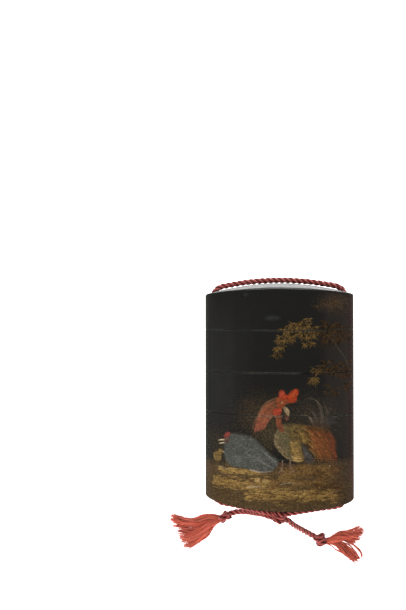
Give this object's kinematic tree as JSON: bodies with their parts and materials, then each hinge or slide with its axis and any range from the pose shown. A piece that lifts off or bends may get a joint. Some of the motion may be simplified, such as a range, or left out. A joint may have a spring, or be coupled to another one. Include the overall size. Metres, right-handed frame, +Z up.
{
  "type": "inro case",
  "caption": "Flat oval lacquered case of stacked compartments under a lift-off lid, strung on a knotted silk cord with tassels.",
  "frame": {"origin": "middle of the case on the surface it lies on, without the cord", "axes": "+X to the right of the pictured front, +Y from the base to the lid, +Z up, out of the pictured front"},
  "size_m": [0.0769, 0.113, 0.0299],
  "materials": {
    "lacquer": "polished black lacquer over thin wood, with a gold and colour picture",
    "silk": "twisted red silk cord",
    "floss": "loose red silk threads"
  },
  "bodies": {
    "root": {"lid": "lacquer", "case_1": "lacquer", "case_2": "lacquer", "case_3": "lacquer", "base_case": "lacquer", "cord_loop": "silk", "base_knot": "silk", "tail_left": "silk", "end_knot_left": "silk", "tassel_left": "floss", "tail_right": "silk", "end_knot_right": "silk", "tassel_right": "floss"}
  },
  "joints": []
}
